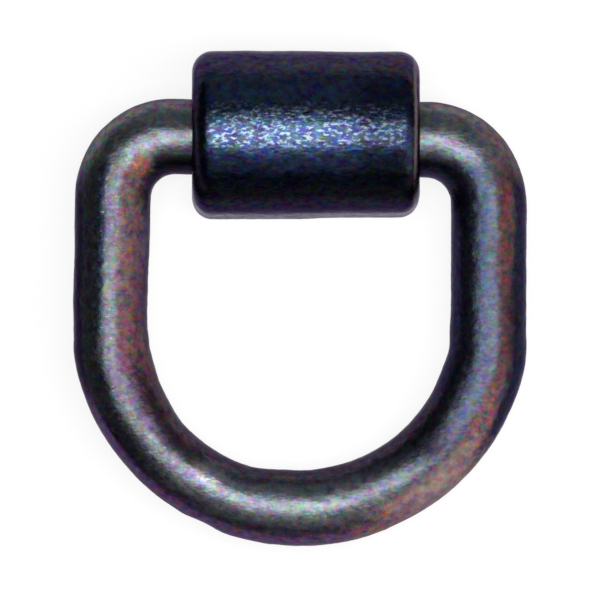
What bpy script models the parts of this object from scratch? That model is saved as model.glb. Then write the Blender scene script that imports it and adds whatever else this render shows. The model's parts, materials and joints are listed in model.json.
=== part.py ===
"""Weld-on D-ring: a closed D of round steel bar that swings in a drop-forged saddle clip.

Units are metres, +Z is up, and z = 0 is the surface that the clip's feet are welded to.
The ring's straight bar runs along X under the clip. At rest the ring lies on that surface, on the -Y side.
The origin is the middle of the footprint of the clip and the lying ring together.
"""

import math

import bmesh
import bpy
from mathutils import Vector

INCH = 0.0254
MM = 0.001

# The ring, bent and forged from round bar.
BAR_DIAMETER = 0.75 * INCH
INSIDE_WIDTH = 77.3 * MM  # between the legs
INSIDE_HEIGHT = 75.2 * MM  # from the straight bar to the far side of the bow
BEND_INNER_RADIUS = 6.3 * MM  # inside of the bend between the straight bar and a leg
BOW_FLARE = 0.9 * MM  # how much the bow's circle is wider than the legs, on each side
BOW_BLEND_RADIUS = 18.0 * MM  # along the bar's middle, where a leg runs into the bow

# How the ring sits in the clip.
CHANNEL_CLEARANCE = 1.65 * MM  # round the bar, when it is in the middle of the channel
ROOF_CLEARANCE = 3.2 * MM  # over the bar, when the ring lies on the surface below
DRAWN_CLEARANCE = 0.4 * MM  # left on the side towards which the ring is drawn
END_PLAY = 3.05 * MM  # from each end of the clip to the start of the ring's bend
CLIP_SHIFT = 1.3 * MM  # how far the loose clip has slid along the bar from its middle

# The clip, a forged saddle whose dies part at the feet.
CLIP_WALL = 0.375 * INCH
DRAFT = math.radians(3.0)  # of the legs, the ends and the channel
FOOT_CORNER_RADIUS = 5.6 * MM  # the upright corners of the legs
TOP_EDGE_RADIUS = 4.5 * MM  # the same edge where it passes over the top
MOUTH_EDGE_RADIUS = 1.2 * MM  # where the channel comes out of the ends
WELD_BEVEL = 1.5 * MM  # round the outside of the feet

# How finely the round shapes are divided.
BAR_SIDES = 40
BEND_STEPS = 14
BLEND_STEPS = 4
HALF_BOW_STEPS = 20
ARCH_STEPS = 44
CHANNEL_STEPS = 32
END_EDGE_STEPS = 6
MOUTH_STEPS = 3

# What follows from the sizes above.
BAR_RADIUS = BAR_DIAMETER / 2
BEND_RADIUS = BEND_INNER_RADIUS + BAR_RADIUS
LEG_MIDDLE = INSIDE_WIDTH / 2 + BAR_RADIUS
STRAIGHT_HALF = LEG_MIDDLE - BEND_RADIUS
BOW_RADIUS = LEG_MIDDLE + BOW_FLARE
BOW_LOWEST = INSIDE_HEIGHT + BAR_DIAMETER
BOW_CENTRE = BOW_LOWEST - BOW_RADIUS

CHANNEL_RADIUS = BAR_RADIUS + CHANNEL_CLEARANCE
ARCH_RADIUS = CHANNEL_RADIUS + CLIP_WALL
ARCH_CENTRE_Z = BAR_DIAMETER + ROOF_CLEARANCE - CHANNEL_RADIUS
CLIP_HALF_LENGTH = STRAIGHT_HALF - END_PLAY
CLIP_DRAWN_SHIFT = CHANNEL_CLEARANCE - DRAWN_CLEARANCE


def arc_points(centre, radius, start, end, steps):
    """Points on an arc in a plane, both ends included. Angles are in radians from the first axis."""
    points = []
    for step in range(steps + 1):
        angle = start + (end - start) * step / steps
        points.append((centre[0] + radius * math.cos(angle), centre[1] + radius * math.sin(angle)))
    return points


def leg_half_width(radius, z):
    """Half the width at height z of an arch of this radius, whose legs spread downwards by the draft."""
    tangent_y = radius * math.cos(DRAFT)
    tangent_z = ARCH_CENTRE_Z + radius * math.sin(DRAFT)
    return tangent_y + (tangent_z - z) * math.tan(DRAFT)


def arch_outline(radius, steps, bottom_z):
    """A round arch on two spreading legs, closed along its bottom, as (y, z) from foot to foot."""
    half_width = leg_half_width(radius, bottom_z)
    arc = arc_points((0.0, ARCH_CENTRE_Z), radius, math.pi - DRAFT, DRAFT, steps)
    return [(-half_width, bottom_z), *arc, (half_width, bottom_z)]


# The footprint runs from the clip's far leg to the outside of the bow.
CLIP_HALF_WIDTH = leg_half_width(ARCH_RADIUS, WELD_BEVEL)
HINGE_Y = (BOW_LOWEST + BAR_RADIUS - CLIP_DRAWN_SHIFT - CLIP_HALF_WIDTH) / 2


def clear_scene():
    for obj in list(bpy.data.objects):
        bpy.data.objects.remove(obj, do_unlink=True)


def make_collection(name):
    collection = bpy.data.collections.new(name)
    bpy.context.scene.collection.children.link(collection)
    return collection


def make_empty(name, location, collection):
    empty = bpy.data.objects.new(name, None)
    empty.empty_display_size = BAR_RADIUS
    empty.location = location
    collection.objects.link(empty)
    return empty


def make_steel(name, colour, roughness, metallic):
    material = bpy.data.materials.new(name)
    material.use_nodes = True
    shader = material.node_tree.nodes["Principled BSDF"]
    shader.inputs["Base Color"].default_value = (*colour, 1.0)
    shader.inputs["Roughness"].default_value = roughness
    shader.inputs["Metallic"].default_value = metallic
    material.diffuse_color = (*colour, 1.0)
    return material


def add_object(name, data, collection, parent):
    obj = bpy.data.objects.new(name, data)
    obj.parent = parent
    collection.objects.link(obj)
    return obj


def right_half_of_ring():
    """The bar's middle line, from the right end of the straight bar to the bow's lowest point.

    The points are (x, y) from the middle of the straight bar.
    """
    bend = arc_points((STRAIGHT_HALF, -BEND_RADIUS), BEND_RADIUS, math.pi / 2, 0.0, BEND_STEPS)
    # The blend lies inside both the leg's line and the bow's circle, and touches each.
    blend_x = LEG_MIDDLE - BOW_BLEND_RADIUS
    blend_drop = math.sqrt((BOW_RADIUS - BOW_BLEND_RADIUS) ** 2 - blend_x**2)
    bow_start = -math.atan2(blend_drop, blend_x)
    blend_centre = (blend_x, -BOW_CENTRE - blend_drop)
    blend = arc_points(blend_centre, BOW_BLEND_RADIUS, 0.0, bow_start, BLEND_STEPS)
    bow = arc_points((0.0, -BOW_CENTRE), BOW_RADIUS, bow_start, -math.pi / 2, HALF_BOW_STEPS)
    return bend + blend + bow[1:]


def make_ring(collection, hinge, material):
    """The D as one closed round bar. Its origin is on the hinge, in the middle of its straight bar."""
    right = right_half_of_ring()
    left = [(-x, y) for x, y in reversed(right[:-1])]
    path = right + left
    curve = bpy.data.curves.new("d_ring", "CURVE")
    curve.dimensions = "3D"
    curve.twist_mode = "Z_UP"
    curve.bevel_depth = BAR_RADIUS
    curve.bevel_resolution = BAR_SIDES // 2 - 2
    spline = curve.splines.new("POLY")
    spline.points.add(len(path) - 1)
    for point, (x, y) in zip(spline.points, path):
        point.co = (x, y, 0.0, 1.0)
    spline.use_cyclic_u = True
    spline.use_smooth = True
    curve.materials.append(material)
    return add_object("d_ring", curve, collection, hinge)


def extrude_section(outline, half_length):
    """A bmesh of the flat outline, given as (y, z), extruded both ways along X, with one face on each end."""
    curve = bpy.data.curves.new("section", "CURVE")
    curve.dimensions = "2D"
    curve.fill_mode = "BOTH"
    curve.extrude = half_length
    spline = curve.splines.new("POLY")
    spline.points.add(len(outline) - 1)
    for point, (y, z) in zip(spline.points, outline):
        point.co = (y, z, 0.0, 1.0)
    spline.use_cyclic_u = True
    flat = bpy.data.objects.new("section", curve)
    flat.rotation_euler = (math.pi / 2, 0.0, math.pi / 2)
    bpy.context.scene.collection.objects.link(flat)
    bpy.context.view_layer.update()
    evaluated = flat.evaluated_get(bpy.context.evaluated_depsgraph_get())
    mesh = bpy.data.meshes.new_from_object(evaluated)
    mesh.transform(flat.matrix_world)
    bpy.data.objects.remove(flat, do_unlink=True)
    bm = bmesh.new()
    bm.from_mesh(mesh)
    bpy.data.meshes.remove(mesh)
    bmesh.ops.remove_doubles(bm, verts=bm.verts, dist=0.01 * MM)
    cap_edges = [e for e in bm.edges if all(abs(f.normal.x) > 0.9 for f in e.link_faces)]
    bmesh.ops.dissolve_edges(bm, edges=cap_edges, use_verts=False)
    bmesh.ops.recalc_face_normals(bm, faces=bm.faces)
    return bm


def lean_ends_inwards(bm):
    """Gives both ends their draft, which turns each about its edge at z = 0."""
    for vert in bm.verts:
        vert.co.x -= math.copysign(vert.co.z * math.tan(DRAFT), vert.co.x)


def end_edge_radius(z):
    """The radius of the outer end edge at this height, easing from the foot's to the top's."""
    share = min(1.0, max(0.0, z / (ARCH_CENTRE_Z + ARCH_RADIUS)))
    ease = share * share * (3 - 2 * share)
    return FOOT_CORNER_RADIUS + (TOP_EDGE_RADIUS - FOOT_CORNER_RADIUS) * ease


def weigh_end_edges(bm, full_radius):
    """Writes the radius of each edge round an end face as a bevel weight, a share of the full radius."""
    weight = bm.edges.layers.float.new("bevel_weight_edge")
    for edge in bm.edges:
        lengthwise = abs(edge.verts[0].co.x - edge.verts[1].co.x) > CLIP_HALF_LENGTH
        on_sole = all(v.co.z < 0.01 * MM for v in edge.verts)
        if not (lengthwise or on_sole):
            middle_z = (edge.verts[0].co.z + edge.verts[1].co.z) / 2
            edge[weight] = end_edge_radius(middle_z) / full_radius


def bevel_sole(bm):
    """Cuts the weld bevel along the whole rim of the flat sole."""
    rim = [e for e in bm.edges if sum(f.normal.z < -0.9 for f in e.link_faces) == 1]
    bmesh.ops.bevel(bm, geom=rim, offset=WELD_BEVEL, offset_type="OFFSET", segments=1, affect="EDGES")


def make_clip_block(name):
    """The clip's outer form as a closed mesh, before the channel is cut."""
    bm = extrude_section(arch_outline(ARCH_RADIUS, ARCH_STEPS, 0.0), CLIP_HALF_LENGTH)
    full_radius = max(FOOT_CORNER_RADIUS, TOP_EDGE_RADIUS)
    weigh_end_edges(bm, full_radius)
    lean_ends_inwards(bm)
    mesh = bpy.data.meshes.new(name)
    bm.to_mesh(mesh)
    bm.free()
    block = bpy.data.objects.new(name, mesh)
    bpy.context.scene.collection.objects.link(block)
    rounding = block.modifiers.new("end_edges", "BEVEL")
    rounding.limit_method = "WEIGHT"
    rounding.width = full_radius
    rounding.segments = END_EDGE_STEPS
    rounding.use_clamp_overlap = False
    bpy.context.view_layer.update()
    evaluated = block.evaluated_get(bpy.context.evaluated_depsgraph_get())
    rounded = bpy.data.meshes.new_from_object(evaluated)
    bpy.data.objects.remove(block, do_unlink=True)
    bm = bmesh.new()
    bm.from_mesh(rounded)
    bevel_sole(bm)
    bm.to_mesh(rounded)
    bm.free()
    return rounded


def loft(name, sections):
    """A closed mesh through sections that have the same number of points, with a face on each end."""
    bm = bmesh.new()
    rings = [[bm.verts.new(point) for point in section] for section in sections]
    bm.faces.new(rings[0])
    bm.faces.new(rings[-1])
    for ring, next_ring in zip(rings, rings[1:]):
        for i, vert in enumerate(ring):
            bm.faces.new((ring[i - 1], vert, next_ring[i], next_ring[i - 1]))
    bmesh.ops.recalc_face_normals(bm, faces=bm.faces)
    mesh = bpy.data.meshes.new(name)
    bm.to_mesh(mesh)
    bm.free()
    return mesh


def mouth_stations():
    """Where the channel widens at a mouth, as (distance inside the end, widening), from the outside inwards.

    The widening follows a quarter round, up to where the round stands steep, and then its tangent.
    """
    steepest = math.radians(65)
    arc = arc_points((0.0, 0.0), MOUTH_EDGE_RADIUS, 0.0, steepest, MOUTH_STEPS)
    stations = [(MOUTH_EDGE_RADIUS - side, MOUTH_EDGE_RADIUS - axial) for axial, side in arc]
    last_inside, last_widening = stations[-1]
    outside = MOUTH_EDGE_RADIUS
    beyond = last_widening + (last_inside + outside) * math.tan(steepest)
    return [(-outside, beyond), *reversed(stations)]


def make_channel_cutter(collection, parent):
    """The space inside the clip: an arch on the channel's radius that widens at both mouths."""
    half = []
    for inside, widening in mouth_stations():
        outline = arch_outline(CHANNEL_RADIUS + widening, CHANNEL_STEPS, -CLIP_WALL)
        half.append([(CLIP_HALF_LENGTH - inside, y, z) for y, z in outline])
    other_half = [[(-x, y, z) for x, y, z in section] for section in reversed(half)]
    mesh = loft("clip_channel", half + other_half)
    bm = bmesh.new()
    bm.from_mesh(mesh)
    lean_ends_inwards(bm)
    bm.to_mesh(mesh)
    bm.free()
    cutter = add_object("clip_channel", mesh, collection, parent)
    cutter.hide_render = True
    cutter.display_type = "WIRE"
    return cutter


def make_clip(collection, cutters, weld_centre, material):
    """The saddle: the rounded block with the channel cut along it."""
    mesh = make_clip_block("weld_clip")
    mesh.materials.clear()
    mesh.materials.append(material)
    clip = add_object("weld_clip", mesh, collection, weld_centre)
    cut = clip.modifiers.new("channel", "BOOLEAN")
    cut.operation = "DIFFERENCE"
    cut.solver = "EXACT"
    cut.object = make_channel_cutter(cutters, weld_centre)
    mesh.shade_smooth()
    mesh.set_sharp_from_angle(angle=math.radians(30))
    return clip


def main():
    clear_scene()
    collection = make_collection("weld_on_d_ring")
    cutters = make_collection("cutters")
    clip_place = Vector((CLIP_SHIFT, HINGE_Y + CLIP_DRAWN_SHIFT, 0.0))
    weld_centre = make_empty("weld_centre", clip_place, collection)
    hinge = make_empty("hinge_axis", Vector((0.0, HINGE_Y, BAR_RADIUS)), collection)
    clip_steel = make_steel("forged_clip_steel", (0.030, 0.033, 0.050), roughness=0.45, metallic=0.6)
    ring_steel = make_steel("forged_bar_steel", (0.085, 0.080, 0.085), roughness=0.50, metallic=0.6)
    make_clip(collection, cutters, weld_centre, clip_steel)
    make_ring(collection, hinge, ring_steel)
    bpy.context.view_layer.update()


main()
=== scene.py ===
# %% [markdown]
# # A weld-on D-ring
#
# A weld-on D-ring is two forgings. A round steel bar is bent to a D and closed,
# and its straight side lies under a short half-round clip. The clip's two feet
# are welded to a deck or a trailer's rail, and the ring then swings in it.
#
# In this lesson both forgings are modelled by hand, with the operators that you
# would use in edit mode. They stand on a frame that is packed already: it says
# where the clip and the ring are, how large they are, and where the hinge is.
# So the first step is to load that frame, and to keep its box, because the
# finished model may not grow out of it.

import json
import math

import bpy
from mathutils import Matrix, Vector


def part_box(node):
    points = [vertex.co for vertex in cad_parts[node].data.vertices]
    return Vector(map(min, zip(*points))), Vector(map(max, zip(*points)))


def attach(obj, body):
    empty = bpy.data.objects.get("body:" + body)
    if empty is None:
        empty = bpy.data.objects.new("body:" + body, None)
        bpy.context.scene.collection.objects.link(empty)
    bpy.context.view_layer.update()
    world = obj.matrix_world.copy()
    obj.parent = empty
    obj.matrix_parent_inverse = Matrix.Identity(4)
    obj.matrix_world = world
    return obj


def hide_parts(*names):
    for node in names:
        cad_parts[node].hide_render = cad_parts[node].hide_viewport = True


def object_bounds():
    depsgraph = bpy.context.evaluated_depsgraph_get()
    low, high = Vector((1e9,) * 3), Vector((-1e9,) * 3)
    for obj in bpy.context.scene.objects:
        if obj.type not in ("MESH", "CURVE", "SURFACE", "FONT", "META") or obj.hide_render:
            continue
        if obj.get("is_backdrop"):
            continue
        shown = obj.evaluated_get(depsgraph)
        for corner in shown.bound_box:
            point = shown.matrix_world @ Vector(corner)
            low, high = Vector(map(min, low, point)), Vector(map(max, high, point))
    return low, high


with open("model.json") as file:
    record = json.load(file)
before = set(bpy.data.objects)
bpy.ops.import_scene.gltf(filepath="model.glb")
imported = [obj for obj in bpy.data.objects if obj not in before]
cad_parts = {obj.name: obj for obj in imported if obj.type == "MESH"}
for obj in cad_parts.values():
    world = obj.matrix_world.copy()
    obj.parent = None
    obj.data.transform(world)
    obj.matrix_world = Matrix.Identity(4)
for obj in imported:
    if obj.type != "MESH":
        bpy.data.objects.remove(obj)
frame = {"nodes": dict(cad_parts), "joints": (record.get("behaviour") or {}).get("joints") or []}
cad_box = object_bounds()
print("frame:", sorted(frame["nodes"]), "box", [round(v, 4) for v in (*cad_box[0], *cad_box[1])])

# %% [markdown]
# ## The camera
#
# The photo looks straight down on the ring as it lies, so the camera needs no
# turn: a camera without rotation looks along -Z with +Y up in the picture. Its
# distance shows at the clip. The clip's ends lean inwards, so from very far the
# feet would stick out past the arch, but in the photo both lie in one line. That
# happens from about half a metre. The lens then follows from the width that the
# picture covers at the height of the bar's middle.

# %% Place the camera
INCH = 0.0254
CAMERA_HEIGHT = 0.52  # above the middle of the bar
PICTURE_WIDTH = 0.1532  # what 600 pixels cover at that height
PICTURE_CENTRE = (0.00005, -0.00067)
SENSOR_WIDTH = 36  # millimetres, as in a full frame camera
FARTHEST_SEEN = 10

ring_low, ring_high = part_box("d_ring")
bar_radius = (ring_high.z - ring_low.z) / 2
bpy.ops.object.select_all(action="DESELECT")
bpy.ops.object.camera_add(location=(*PICTURE_CENTRE, bar_radius + CAMERA_HEIGHT), rotation=(0, 0, 0))
camera = bpy.context.object
camera.name = "camera"
camera.data.sensor_width = SENSOR_WIDTH
camera.data.lens = SENSOR_WIDTH * CAMERA_HEIGHT / PICTURE_WIDTH
camera.data.clip_end = FARTHEST_SEEN
bpy.context.scene.camera = camera
print("lens", round(camera.data.lens, 1), "mm, bar", round(bar_radius * 2 / INCH, 3), "in")

# %% [markdown]
# ## Sizes from the frame
#
# The straight side of the ring runs along X through the hinge. The legs run
# along -Y, and the bow closes the D. The bow's arc is slightly wider than the
# legs, so a short tighter bend leads from each leg into it. Only the few values
# that a box can't tell are written here.

# %% Work out the ring's centreline
BEND_INNER_RADIUS = 0.0063  # inside of the two square corners
BOW_FLARE = 0.0009  # how much the bow is wider than the legs
BLEND_RADIUS = 0.018  # the bend from a leg into the bow

hinge = Vector(frame["joints"][0]["pos_m"])
bend_radius = BEND_INNER_RADIUS + bar_radius
leg_x = ring_high.x - bar_radius
straight_half = leg_x - bend_radius
bow_radius = leg_x + BOW_FLARE
bow_y = ring_low.y + bar_radius + bow_radius
blend_x = leg_x - BLEND_RADIUS
blend_drop = math.sqrt((bow_radius - BLEND_RADIUS) ** 2 - blend_x ** 2)
blend_angle = math.atan2(blend_drop, blend_x)
leg_length = hinge.y - bend_radius - (bow_y - blend_drop)
print("straight", round(straight_half * 2, 4), "leg", round(leg_length, 4),
      "bow radius", round(bow_radius, 4))

# %% [markdown]
# ## Helpers for work in edit mode
#
# By hand you would click faces and press a key. In a script the faces are
# picked by a rule on their place or direction, and the operator then acts on
# them. Everything is deselected before a piece is added, because an operator
# acts on all that is selected.

# %% Helpers: start a piece, pick faces, keep modifiers
def deselect_everything():
    if bpy.context.object and bpy.context.object.mode != "OBJECT":
        bpy.ops.object.mode_set(mode="OBJECT")
    bpy.ops.object.select_all(action="DESELECT")


def edit_everything():
    """Open the active piece in edit mode with all of it selected."""
    bpy.ops.object.mode_set(mode="EDIT")
    bpy.ops.mesh.select_all(action="SELECT")


def pick(kind, rule):
    """Open the active piece in edit mode with the "VERT", "EDGE" or "FACE" elements that obey the rule."""
    bpy.ops.object.mode_set(mode="EDIT")
    bpy.ops.mesh.select_mode(type=kind)
    bpy.ops.mesh.select_all(action="DESELECT")
    bpy.ops.object.mode_set(mode="OBJECT")
    mesh = bpy.context.object.data
    elements = {"VERT": mesh.vertices, "EDGE": mesh.edges, "FACE": mesh.polygons}[kind]
    chosen = [rule(mesh, element) for element in elements]
    elements.foreach_set("select", chosen)
    bpy.ops.object.mode_set(mode="EDIT")
    return sum(chosen)


def apply_modifier(kind, **settings):
    """Add a modifier to the active piece, set it and apply it."""
    piece = bpy.context.object
    bpy.ops.object.modifier_add(type=kind)
    modifier = piece.modifiers[-1]
    for name, value in settings.items():
        setattr(modifier, name, value)
    bpy.ops.object.modifier_apply(modifier=modifier.name)


def report(piece):
    """Print how many triangles a piece has and its size in millimetres."""
    count = sum(len(face.vertices) - 2 for face in piece.data.polygons)
    size = [round(side * 1000, 2) for side in piece.dimensions]
    print(piece.name, count, "triangles,", size, "mm")


# %% [markdown]
# ## The ring: a bar, bent the way a smith bends it
#
# On the real object the ring is a straight length of round bar, heated, bent
# round formers and closed by a butt weld that the clip hides. A curve with a
# bevel would draw the same tube, but its sections stretch and shrink with the
# curve's points. Here the bar's section is a circle of 128 points, pushed along
# by short extrusions and turned round each former by a spin. That keeps all
# faces about half a millimetre long, which the forge marks need later. Only
# one half is bent, and a mirror closes the D.

# %% Bend half of the ring
BAR_POINTS = 128
FACE_LENGTH = 0.0005
BAR_SWELL = 0.00010  # what the hot bar upsets to over its drawn radius

deselect_everything()
bpy.ops.mesh.primitive_circle_add(
    vertices=BAR_POINTS, radius=bar_radius + BAR_SWELL, fill_type="NOTHING",
    location=(0, hinge.y, bar_radius), rotation=(0, math.pi / 2, 0))
ring = bpy.context.object
ring.name = "forged_ring"
bpy.ops.object.transform_apply(location=True, rotation=True, scale=True)
edit_everything()


def push_bar(direction, length):
    """Push the open end of the bar straight on, in steps of a face's length."""
    steps = round(length / FACE_LENGTH)
    step = Vector(direction) * (length / steps)
    for _ in range(steps):
        bpy.ops.mesh.extrude_region_move(TRANSFORM_OT_translate={"value": step})


def bend_bar(radius, angle, centre_x, centre_y):
    """Turn the open end of the bar clockwise round a former."""
    steps = round(radius * angle / FACE_LENGTH)
    bpy.ops.mesh.spin(steps=steps, angle=angle, center=(centre_x, centre_y, bar_radius), axis=(0, 0, 1))


push_bar((1, 0, 0), straight_half)
bend_bar(bend_radius, math.pi / 2, straight_half, hinge.y - bend_radius)
push_bar((0, -1, 0), leg_length)
bend_bar(BLEND_RADIUS, blend_angle, blend_x, bow_y - blend_drop)
bend_bar(bow_radius, math.pi / 2 - blend_angle, 0, bow_y)
bpy.ops.object.mode_set(mode="OBJECT")
print("half of the ring:", len(ring.data.polygons), "faces")

# %% [markdown]
# The other half is the same, so a mirror makes it. It needs the two open ends on
# its plane, and it merges only points that lie closer than a twentieth of a
# millimetre. A mirrored shell can end up inside out, so the normals are
# recalculated at the end.

# %% Close the D
MERGE_DISTANCE = 0.00005

apply_modifier("MIRROR", use_axis=(True, False, False), use_clip=True, merge_threshold=MERGE_DISTANCE)
edit_everything()
bpy.ops.mesh.remove_doubles(threshold=MERGE_DISTANCE)
bpy.ops.mesh.normals_make_consistent(inside=False)
bpy.ops.object.mode_set(mode="OBJECT")
report(ring)

# %% [markdown]
# ## What the forge left on the ring
#
# A bent bar is never as true as its drawing. In the photo the straight side
# slopes a little, both legs stand slightly to the right, the lower left of the
# bow is flattened on the inside, and its outside has a shallow dent.
# Proportional editing does this by hand: some points move, and their neighbours
# follow up to a given distance. Places are read off the photo in pixels and
# turned into metres by the scale of the picture.

# %% Helpers: a place in the photo, and a nudge to the steel there
PICTURE_PIXELS = 600
pixel = PICTURE_WIDTH / PICTURE_PIXELS


def photo_place(column, row, height=bar_radius):
    """The place that a pixel of the photo shows, at a height above the floor."""
    x = PICTURE_CENTRE[0] + (column - PICTURE_PIXELS / 2) * pixel
    y = PICTURE_CENTRE[1] - (row - PICTURE_PIXELS / 2) * pixel
    return Vector((x, y, height))


def nudge(fault, place, reach, move, softness, inside_of=math.inf):
    """Move the points within reach of a place, and let those within softness of them follow.

    Only points that are nearer to the bow's centre than inside_of count.
    """
    count = pick("VERT", lambda mesh, point: (point.co - place).length < reach
                 and math.hypot(point.co.x, point.co.y - bow_y) < inside_of)
    bpy.ops.transform.translate(
        value=move, use_proportional_edit=True, use_proportional_connected=True,
        proportional_edit_falloff="SMOOTH", proportional_size=softness)
    bpy.ops.object.mode_set(mode="OBJECT")
    print(fault, "by", round(Vector(move).length * 1000, 2), "mm, from", count, "points")


# %% [markdown]
# The straight side and its corners turn as one, and the legs take up the turn
# softly.

# %% Turn the straight side
TOP_SLOPE = math.radians(0.7)  # the straight side falls to the right
TOP_PART = 0.022  # what turns as one, measured down from the bar
TOP_SOFTNESS = 0.035

pick("VERT", lambda mesh, point: point.co.y > hinge.y - TOP_PART)
bpy.ops.transform.rotate(
    value=TOP_SLOPE, orient_axis="Z", center_override=(0, hinge.y, bar_radius),
    use_proportional_edit=True, proportional_edit_falloff="SMOOTH", proportional_size=TOP_SOFTNESS)
bpy.ops.object.mode_set(mode="OBJECT")
right_end = max(ring.data.vertices, key=lambda point: point.co.x + point.co.y)
print("upper right corner now at", [round(v, 4) for v in right_end.co])

# %% [markdown]
# Both legs stand about half a millimetre off their drawing, and the left one is
# thinner inside. A wide reach moves the whole bar, a small one only a side of it.

# %% Set the legs
LEFT_LEG = photo_place(112, 215)
RIGHT_LEG = photo_place(489, 250)
LEFT_LEG_INSIDE = photo_place(147, 300)

nudge("left leg moved right", LEFT_LEG, reach=0.012, move=(0.00062, 0, 0), softness=0.030)
nudge("right leg moved right", RIGHT_LEG, reach=0.012, move=(0.00035, 0, 0), softness=0.014)
nudge("left leg thinned inside", LEFT_LEG_INSIDE, reach=0.004, move=(-0.00050, 0, 0), softness=0.014)

# %% [markdown]
# The bow is bent last, over a round former that leaves a flat at its lower left.
# That flat lies on the inner side alone, so its points are also picked by how
# near they are to the bow's centre.

# %% Set the inside of the bow
INNER_SIDE = 0.83 * bow_radius
FLAT_INSIDE = photo_place(214, 448)
LEFT_START_INSIDE = photo_place(152, 355)
BELOW_LEFT_START = photo_place(161, 385)
RIGHT_START_INSIDE = photo_place(451, 356)
BELOW_RIGHT_START = photo_place(432, 395)

nudge("flat pressed outwards", FLAT_INSIDE, reach=0.0090, move=(-0.00072, -0.00108, 0),
      softness=0.012, inside_of=INNER_SIDE)
nudge("left start fuller", LEFT_START_INSIDE, reach=0.0030, move=(0.00040, 0.00008, 0), softness=0.0056)
nudge("thinned below it", BELOW_LEFT_START, reach=0.0030, move=(-0.00022, -0.00010, 0), softness=0.0070)
nudge("right start fuller", RIGHT_START_INSIDE, reach=0.003, move=(-0.00030, 0.00008, 0), softness=0.009)
nudge("fuller below it too", BELOW_RIGHT_START, reach=0.006, move=(-0.00028, 0.00022, 0), softness=0.010)

# %% [markdown]
# Outside, the bow reaches a little further at the bottom and at the lower right.
# A knock has left a shallow dent at the lower left, made by a tiny reach.

# %% Set the outside of the bow
BOW_BOTTOM = photo_place(300, 545)
LOWER_RIGHT_BOW = photo_place(487, 446)
DENT_OUTSIDE = photo_place(204, 521)

nudge("bottom drawn out", BOW_BOTTOM, reach=0.016, move=(0, -0.00020, 0), softness=0.020)
nudge("lower right drawn out", LOWER_RIGHT_BOW, reach=0.012, move=(0.00030, -0.00020, 0), softness=0.024)
nudge("dent knocked in", DENT_OUTSIDE, reach=0.0014, move=(0.0002, 0.0005, 0), softness=0.0050)

# %% [markdown]
# Hot steel scales, and the hammer and the tongs press that scale back in. So
# the surface is uneven at three sizes: long soft waves, marks of some
# millimetres, and a fine pebbled skin. Three Displace modifiers lay them over
# each other. Their mid level is 0.5, so they take away as much as they add, and
# the bar keeps the size that the frame gives it. The ring lies on a flat deck,
# so what has sunk below the floor is pressed flat again.

# %% Press the forge marks into the ring
def press_marks(name, texture_type, size, depth, **settings):
    """Displace the active piece by a procedural texture of that size, in metres."""
    texture = bpy.data.textures.new(name, texture_type)
    texture.noise_scale = size
    for setting, value in settings.items():
        setattr(texture, setting, value)
    apply_modifier("DISPLACE", texture=texture, strength=depth, mid_level=0.5, texture_coords="LOCAL")
    bpy.data.textures.remove(texture)


def press_flat(below):
    """Flatten the underside of the active piece on the floor: all points lower than that height."""
    pick("VERT", lambda mesh, point: point.co.z < below)
    bpy.ops.transform.resize(value=(1, 1, 0), center_override=(0, 0, 0))
    bpy.ops.object.mode_set(mode="OBJECT")


deselect_everything()
bpy.context.view_layer.objects.active = ring
ring.select_set(True)
press_marks("bar_waves", "CLOUDS", size=0.013, depth=0.00030)
press_marks("bar_marks", "CLOUDS", size=0.0042, depth=0.00018, noise_depth=1)
press_marks("bar_skin", "CLOUDS", size=0.0012, depth=0.00007, noise_depth=0)
press_flat(below=0)
bpy.ops.object.shade_smooth()
report(ring)

# %% [markdown]
# ## The clip: a half round block on two feet
#
# The clip is a drop forging. Its back is a half cylinder, its sides lean by the
# draft of the die, three degrees, and a channel for the bar runs through it
# from end to end. The frame's box gives its length, width and height. The
# radius of the back follows from them: the sides have to meet the round back
# without a kink, and the width is measured at the feet.

# %% Work out the clip's sizes
DRAFT = math.radians(3)
SOLE_BEVEL = 0.0015  # the weld bevel round the sole
CHANNEL_CLEARANCE = 0.00165  # room beside the bar

clip_low, clip_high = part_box("weld_clip")
clip_centre = (clip_low + clip_high) / 2
clip_height = clip_high.z
clip_half = (clip_high.x - clip_low.x) / 2 + SOLE_BEVEL * math.tan(DRAFT)
half_width = (clip_high.y - clip_low.y) / 2
side_rise = (clip_height - SOLE_BEVEL) * math.tan(DRAFT)
back_radius = (half_width - side_rise) / (math.cos(DRAFT) - (1 - math.sin(DRAFT)) * math.tan(DRAFT))
back_z = clip_height - back_radius
channel_radius = bar_radius + CHANNEL_CLEARANCE
print("back radius", round(back_radius, 5), "centre height", round(back_z, 5))

# %% [markdown]
# The clip could be an extruded profile, but its ends lean too, and their edge
# rounds less at the top than at the foot. So it starts as a cylinder lying along
# X. A bisect cuts off its lower half at the line where the draft leaves the
# round back, and the cut face is drawn down to the floor and widened by the
# draft. The cutter for the channel has the same form, so a helper makes both.

# %% Shape the block
BLOCK_POINTS = 128
BLOCK_SPARE = 0.005  # extra length, so that both ends can be cut at a slant


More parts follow.
